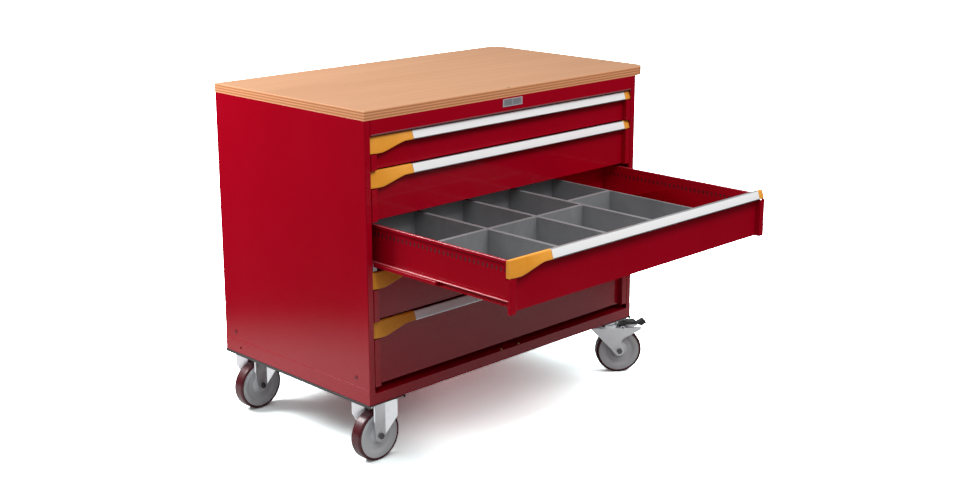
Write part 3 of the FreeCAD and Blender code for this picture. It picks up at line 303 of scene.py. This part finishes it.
BY_SLOT = {
    "red_paint": RED, "beech_plywood": WOOD, "handle_aluminium": ALUMINIUM, "amber_plastic": AMBER,
    "zinc_steel": ZINC, "black_steel": BLACK, "tread_rubber": RUBY, "core_nylon": CORE,
    "grey_tray": TRAY, "white_nylon": WHITE, "plate_metal": PLATE,
}

# ---------------------------------------------------------------- CAD nodes that stay

# edge roundings in mm, by material slot
ROUNDED = {"name_plate": 0.2, "handle_aluminium": 0.25, "black_steel": 0.6, "zinc_steel": 0.4}
OTHERS_ROUNDED = 0.45
# nodes left with the edges and normals that CAD gave them
KEEPS_NORMALS = ("wheel_tread", "wheel_core", "worktop")
# the fixed castors' axles are dark burnished steel; the swivel castors' axles take the same dark colour as
# painted shade for the hole in their hubs
BY_NODE = {"fasteners": FASTENER, "fixed_castor_axles": DARK_STEEL_AND_HUB_SHADE,
           "front_right_axle": DARK_STEEL_AND_HUB_SHADE, "rear_right_axle": DARK_STEEL_AND_HUB_SHADE,
           **{f"drawer_{number}_slide_middles": RED for number in DRAWERS}}


def round_edges(piece, width, angle, segments=3):
    """A rounding, its width in mm, on every edge sharper than an angle in degrees."""
    rounding = piece.modifiers.new("edge_rounding", "BEVEL")
    rounding.width = width * MM
    rounding.segments = segments
    rounding.limit_method = "ANGLE"
    rounding.angle_limit = math.radians(angle)
    return rounding


def weigh_normals(piece):
    piece.modifiers.new("weighted_normals", "WEIGHTED_NORMAL").weight = 80


def soften(piece, width):
    """Small true edge roundings over a CAD node, with normals weighted by face area."""
    for name in ("custom_normal", "sharp_edge", "sharp_face"):
        if name in piece.data.attributes:
            piece.data.attributes.remove(piece.data.attributes[name])
    weld = piece.modifiers.new("weld", "WELD")
    weld.merge_threshold = 1e-6
    round_edges(piece, width, 34, segments=2).miter_outer = "MITER_ARC"
    weigh_normals(piece)


slot_of = {entry["node"]: entry["material_slot"] for entry in frame["record"]["subparts"]}
for name, node in frame["nodes"].items():
    node.data.materials.clear()
    node.data.materials.append(BY_NODE.get(name, BY_SLOT[slot_of[name]]))
    if not name.endswith(KEEPS_NORMALS):
        soften(node, ROUNDED.get(slot_of[name], OTHERS_ROUNDED))

# ---------------------------------------------------------------- pieces built here


def finished(name, mesh, material, body, rounding=None):
    """Make a mesh a piece: linked, shaded, rounded and riding on its body."""
    piece = bpy.data.objects.new(name, mesh)
    bpy.context.scene.collection.objects.link(piece)
    mesh.materials.append(material)
    mesh.shade_smooth()
    if rounding:
        round_edges(piece, rounding, 30)
    weigh_normals(piece)
    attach(piece, body)
    return piece


def swept(name, sections, closed=True):
    """A mesh through rings of points of equal count, with end faces. An open ring has no face
    between its last point and its first."""
    build = bmesh.new()
    rings = [[build.verts.new(point) for point in section] for section in sections]
    count = len(sections[0])
    last = count if closed else count - 1
    for ring, following in zip(rings, rings[1:]):
        for index in range(last):
            after = (index + 1) % count
            build.faces.new((ring[index], ring[after], following[after], following[index]))
    build.faces.new(rings[0][::-1])
    build.faces.new(rings[-1])
    bmesh.ops.recalc_face_normals(build, faces=build.faces)
    mesh = bpy.data.meshes.new(name)
    build.to_mesh(mesh)
    build.free()
    return mesh


def label_strip(number):
    """The white label behind its clear cover, filling the grip rail's leaning face."""
    inset, lift, crown, thickness = 0.4 * MM, 0.15 * MM, 0.35 * MM, 0.9 * MM
    steps = 8
    low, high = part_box(f"drawer_{number}_handle")
    foot = Vector((0, low.y + 0.3 * MM, low.z + 1.6 * MM))
    head = Vector((0, low.y + 8.0 * MM, high.z - 0.9 * MM))
    lean = (head - foot).normalized()
    out = Vector((0, -lean.z, lean.y))
    front = []
    for step in range(steps + 1):
        along = step / steps
        front.append(foot.lerp(head, along) + out * (lift + crown * math.sin(math.pi * along)))
    back = [head - out * thickness, foot - out * thickness + Vector((0, 0.5 * MM, 0))]
    sections = [[Vector((x, point.y, point.z)) for point in front + back]
                for x in (low.x + inset, high.x - inset)]
    finished(f"label_strip_{number}", swept(f"label_strip_{number}", sections), CARD,
             f"drawer_{number}", 0.25)


# the amber caps, in mm: how far the face leans back and the outer facet slants back, the depth,
# the wall, and the height of the narrow part
LEAN_BACK = 8.6
LEAN_CURVE = 1.15
FACET_BACK = 3.5
CAP_BACK = 17.6
CAP_WALL = 2.2
CAP_SHALLOW = 26.5
# the rounding of the cap's upper and lower edge, and where its face begins and ends between them
HEAD_ROUND, FOOT_ROUND = 1.0, 1.2
FACE_FROM_TOP, FACE_FROM_FOOT, LEAN_FROM_FOOT = 0.9, 2.1, 2.0
# the share of the lower edge's sweep that is straight; the rest eases in and out
STRAIGHT_SHARE = 0.72
STATIONS, FACE_STEPS = 48, 8


def clamped(value):
    return min(1.0, max(0.0, value))


def smooth_step(value):
    value = clamped(value)
    return value * value * (3 - 2 * value)


def cap_section(x, top, deep, rise, facet):
    """The outline of an amber cap, as (y, z) in mm, at a distance x from its left end."""
    swing = (x - rise[0]) / (rise[1] - rise[0])
    eased = STRAIGHT_SHARE * clamped(swing) + (1 - STRAIGHT_SHARE) * smooth_step(swing)
    bottom = top - deep + (deep - CAP_SHALLOW) * eased
    slant = FACET_BACK * clamped((facet[0] - x) / (facet[0] - facet[1]))

    def front(z):
        along = clamped((z - bottom - LEAN_FROM_FOOT) / (top - bottom - LEAN_FROM_FOOT))
        return LEAN_BACK * along ** LEAN_CURVE + slant

    face_tall = top - bottom - FACE_FROM_TOP - FACE_FROM_FOOT
    levels = [top - FACE_FROM_TOP - face_tall * step / FACE_STEPS for step in range(FACE_STEPS + 1)]
    head = [(CAP_BACK, top), (front(top) + HEAD_ROUND, top)]
    foot = [(slant + 0.1, bottom + FOOT_ROUND), (slant + FOOT_ROUND, bottom), (CAP_BACK, bottom)]
    return head + [(front(z), z) for z in levels] + foot


def grip_cap(name, node, body, deep, rise, facet):
    """An amber cap with one smooth leaning face. deep is its height at its left end, rise the
    stretch over which its lower edge sweeps up to the grip's, and facet (from, to) the stretch at
    its outer end that slants back."""
    low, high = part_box(node)
    wide = (high.x - low.x) / MM
    top = high.z / MM
    stations = sorted({0.0, wide, *facet} | {wide * step / STATIONS for step in range(STATIONS + 1)})
    sections = [[Vector((low.x + x * MM, low.y + y * MM, z * MM))
                 for y, z in cap_section(x, top, deep, rise, facet)] for x in stations]
    piece = finished(name, swept(name, sections, closed=False), AMBER, body)
    shell = piece.modifiers.new("wall", "SOLIDIFY")
    shell.thickness = CAP_WALL * MM
    shell.offset = -1
    round_edges(piece, 0.7, 40)
    # the normals are weighted last
    piece.modifiers.move(0, 2)
    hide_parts(node)


def bar(name, low, high, material, body, rounding):
    """A plain straight bar between two corners."""
    corners = [(low.x, low.z), (high.x, low.z), (high.x, high.z), (low.x, high.z)]
    sections = [[Vector((x, y, z)) for x, z in corners] for y in (low.y, high.y)]
    return finished(name, swept(name, sections), material, body, rounding)


# on the drawer sides, in mm: the outer runner's height above the foot of the box, the lower and
# upper edge below the rim of the dark sheet that paints shade into the slots, and where it starts and ends
# from the front
RUNNER_TALL = 14
SHADE_SHEET_BELOW_RIM = (38, 22)
SHADE_SHEET_FROM_FRONT = (18, 604)


def side_trim(number):
    """Along each drawer side: rounded edges on the runner and the rim, coloured pale as painted highlights,
    and a dark sheet in the slots as painted shade.
    """
    low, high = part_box(f"drawer_{number}_box")
    runner_top = low.z + RUNNER_TALL * MM
    back = high.y - 1 * MM
    # each with its depths from the side's outer face in mm, its levels and its reach
    trims = (
        ("runner_edge", (-0.2, 4.0), (runner_top - 1.2 * MM, runner_top + 1.8 * MM),
         (low.y + 7 * MM, back), HIGHLIGHT_EDGE_RED, 1.4),
        ("rim_edge", (4.2, 6.4), (high.z - 2.2 * MM, high.z + 0.3 * MM),
         (low.y + 1 * MM, back), HIGHLIGHT_EDGE_RED, 1.0),
        ("slot_shade_sheet", (11.5, 12.0), [high.z - below * MM for below in SHADE_SHEET_BELOW_RIM],
         [low.y + along * MM for along in SHADE_SHEET_FROM_FRONT], PAINTED_SLOT_SHADE, 0.1),
    )
    for side, inward, outer in (("left", 1, low.x), ("right", -1, high.x)):
        for kind, depths, (foot, head), (start, stop), material, rounding in trims:
            first, last = sorted(outer + inward * depth * MM for depth in depths)
            bar(f"{kind}_{side}_{number}", Vector((first, start, foot)), Vector((last, stop, head)),
                material, f"drawer_{number}", rounding)


def rail_edge():
    """The rounded lower edge of the rail above the drawers, coloured pale as a painted highlight."""
    low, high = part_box("top_panel")
    inset = 22 * MM
    bar("rail_edge", Vector((low.x + inset, low.y - 0.3 * MM, low.z - 0.2 * MM)),
        Vector((high.x - inset, low.y + 3 * MM, low.z + 4.5 * MM)), RAIL_LIP_HIGHLIGHT, "cabinet", 1.2)


for number in DRAWERS:
    side_trim(number)
rail_edge()
for number in DRAWERS:
    label_strip(number)
    grip_cap(f"latch_cover_{number}", f"drawer_{number}_latch", f"latch_{number}",
             deep=48.5, rise=(42, 130), facet=(18, 0))
    grip_cap(f"end_cap_{number}", f"drawer_{number}_cap", f"drawer_{number}",
             deep=CAP_SHALLOW, rise=(0, 1), facet=(14, 28))


def name_plate():
    """A blank cast plate, wider at its foot, with two plain fields inside a raised rim."""
    wide, tall = 86, 24
    rim, end_rim, divider = 2.6, 5, 3
    sink, stand_out = 0.5 * MM, 0.3 * MM
    low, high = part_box("name_plate")
    build = bmesh.new()

    def slab(left, right, bottom, top, back, front, taper):
        """A block whose upper edge is narrower than its lower one by the taper at each end."""
        corners = [(left, bottom), (right, bottom), (right - taper, top), (left + taper, top)]
        rings = [[build.verts.new((x, y, z)) for x, z in corners] for y in (back, front)]
        for index in range(4):
            after = (index + 1) % 4
            build.faces.new((rings[0][index], rings[0][after], rings[1][after], rings[1][index]))
        build.faces.new(rings[0])
        build.faces.new(rings[1][::-1])

    slab(low.x, high.x, low.z, high.z, high.y, low.y + sink, 3 * MM)
    # the front face of the first slab is the field
    build.faces.ensure_lookup_table()
    build.faces[-1].material_index = 1
    for left, right, bottom, top in (
            (0, wide, 0, rim), (0, wide, tall - rim, tall),
            (0, end_rim, rim, tall - rim), (wide - end_rim, wide, rim, tall - rim),
            ((wide - divider) / 2, (wide + divider) / 2, rim, tall - rim)):
        slab(low.x + left * MM, low.x + right * MM, low.z + bottom * MM, low.z + top * MM,
             low.y + sink, low.y - stand_out, 0.35 * MM)
    bmesh.ops.recalc_face_normals(build, faces=build.faces)
    mesh = bpy.data.meshes.new("blank_plate")
    build.to_mesh(mesh)
    build.free()
    plate = finished("blank_plate", mesh, PLATE, "cabinet", 0.35)
    mesh.materials.append(FIELD)
    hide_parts("name_plate")


name_plate()

# ---------------------------------------------------------------- floor, light and camera


# the floor, in metres: its half width, how far from the bench the painted pool of light in its reflections
# fades, where painted light makes it grow brighter towards the open side, and the painted shadow beside the
# bench's left end
FLOOR_REACH, FLOOR_CELLS = 30.0, 24
REFLECTED_POOL_FADE = (1.2, 2.0)
PAINTED_LIGHT_SPAN = (-0.62, -0.25)
PAINTED_SHADOW_CENTRE = (-0.41, 0.46, 0.0)
PAINTED_SHADOW_EDGE = (0.20, 0.48)


def make_floor():
    """A pale floor, whiter for the camera than for the light it gives back to the bench, with painted light
    towards the open side, a painted shadow beside the bench's left end, and a painted pool of light in its
    reflections.
    """
    build = bmesh.new()
    bmesh.ops.create_grid(build, x_segments=FLOOR_CELLS, y_segments=FLOOR_CELLS, size=FLOOR_REACH)
    mesh = bpy.data.meshes.new("studio_floor")
    build.to_mesh(mesh)
    build.free()
    floor = bpy.data.objects.new("studio_floor", mesh)
    bpy.context.scene.collection.objects.link(floor)
    pale = Shader("pale_floor", Roughness=0.9, Specular_IOR_Level=0.0)
    seen = pale.add("ShaderNodeLightPath").outputs
    away = pale.add("ShaderNodeVectorMath", {0: pale.place}, operation="LENGTH").outputs["Value"]
    # painted pool of light: in reflections the floor dims away from the bench
    reflected_light_pool = pale.mix(pale.span(away, *REFLECTED_POOL_FADE, 1.0, 0.02, smooth=True), (0.0, 0.0, 0.0), (0.66, 0.66, 0.66))
    plain = pale.mix(pale.noise(1.5, 2), (0.20, 0.20, 0.205), (0.22, 0.22, 0.225))
    plain = pale.mix(seen["Is Glossy Ray"], plain, reflected_light_pool)
    # painted light: the camera sees the floor brighter towards the open side, tinted cyan against the red
    # light bounced into its shadow
    lit = pale.mix(pale.span(pale.split(pale.place)[0], *PAINTED_LIGHT_SPAN, smooth=True),
                   (2.0, 2.2, 2.2), (4.7, 5.45, 5.45))
    # painted shadow: a dimmer patch beside the bench's left end
    from_painted_shadow = pale.add("ShaderNodeVectorMath", {0: pale.place, 1: PAINTED_SHADOW_CENTRE},
                          operation="DISTANCE").outputs["Value"]
    lit = pale.mix(pale.span(from_painted_shadow, *PAINTED_SHADOW_EDGE, smooth=True), (1.85, 2.0, 2.0), lit)
    pale.colour(pale.mix(seen["Is Camera Ray"], plain, lit))
    mesh.materials.append(pale.material)


def make_world():
    """Soft light from overhead, dim towards the horizon and brighter on the left; white backdrop."""
    world = bpy.data.worlds.new("studio")
    bpy.context.scene.world = world
    world.use_nodes = True
    tree = world.node_tree
    background = tree.nodes["Background"]
    place = tree.nodes.new("ShaderNodeTexCoord")
    parts = tree.nodes.new("ShaderNodeSeparateXYZ")
    tree.links.new(place.outputs["Generated"], parts.inputs[0])

    def ramp(axis, *limits):
        """Strength along one axis of the direction of view."""
        node = tree.nodes.new("ShaderNodeMapRange")
        for name, value in zip(("From Min", "From Max", "To Min", "To Max"), limits):
            node.inputs[name].default_value = value
        tree.links.new(parts.outputs[axis], node.inputs["Value"])
        return node.outputs["Result"]

    both = tree.nodes.new("ShaderNodeMath")
    both.operation = "MULTIPLY"
    tree.links.new(ramp("Z", 0.10, 0.85, 0.02, 1.22), both.inputs[0])
    tree.links.new(ramp("X", -1.0, 1.0, 0.95, 0.88), both.inputs[1])
    background.inputs["Color"].default_value = (1, 1, 1, 1)
    backdrop = tree.nodes.new("ShaderNodeMath")
    backdrop.operation = "MAXIMUM"
    tree.links.new(both.outputs[0], backdrop.inputs[0])
    tree.links.new(tree.nodes.new("ShaderNodeLightPath").outputs["Is Camera Ray"], backdrop.inputs[1])
    tree.links.new(backdrop.outputs[0], background.inputs["Strength"])


def softbox(name, place, aim, size, power):
    """A rectangular lamp at a place, turned towards an aim."""
    lamp = bpy.data.lights.new(name, "AREA")
    lamp.shape = "RECTANGLE"
    lamp.size, lamp.size_y = size
    lamp.energy = power
    holder = bpy.data.objects.new(name, lamp)
    bpy.context.scene.collection.objects.link(holder)
    holder.location = place
    holder.rotation_mode = "QUATERNION"
    holder.rotation_quaternion = (Vector(aim) - Vector(place)).to_track_quat("-Z", "Y")


def make_camera():
    """Front left, a little above: yaw is from +Y towards +X, pitch above the horizon, and the
    lens and its sensor are in mm."""
    place = Vector((-3.1620, -3.1105, 1.7790))
    yaw, pitch, roll = 0.7801, -0.2440, -0.0018
    sensor, lens, shift_up = 36, 53.5725, -0.0453125
    forward = Vector((math.sin(yaw) * math.cos(pitch), math.cos(yaw) * math.cos(pitch), math.sin(pitch)))
    level = Vector((math.cos(yaw), -math.sin(yaw), 0))
    up = level.cross(forward)
    right = level * math.cos(roll) + up * math.sin(roll)
    up = right.cross(forward)
    data = bpy.data.cameras.new("camera")
    data.sensor_width = sensor
    data.lens = lens
    data.shift_y = shift_up
    camera = bpy.data.objects.new("camera", data)
    bpy.context.scene.collection.objects.link(camera)
    turn = Matrix((right, up, -forward)).transposed().to_4x4()
    camera.matrix_world = Matrix.Translation(place) @ turn
    bpy.context.scene.camera = camera


make_floor()
make_world()
softbox("key_softbox", (-1.7, 1.8, 2.2), (-0.6, 0.7, 0.8), (1.1, 1.1), 76)
softbox("front_softbox", (0.1, -2.6, 4.0), (0, -0.1, 0.8), (2.6, 1.3), 88)
make_camera()
bpy.context.scene.view_settings.view_transform = "Standard"
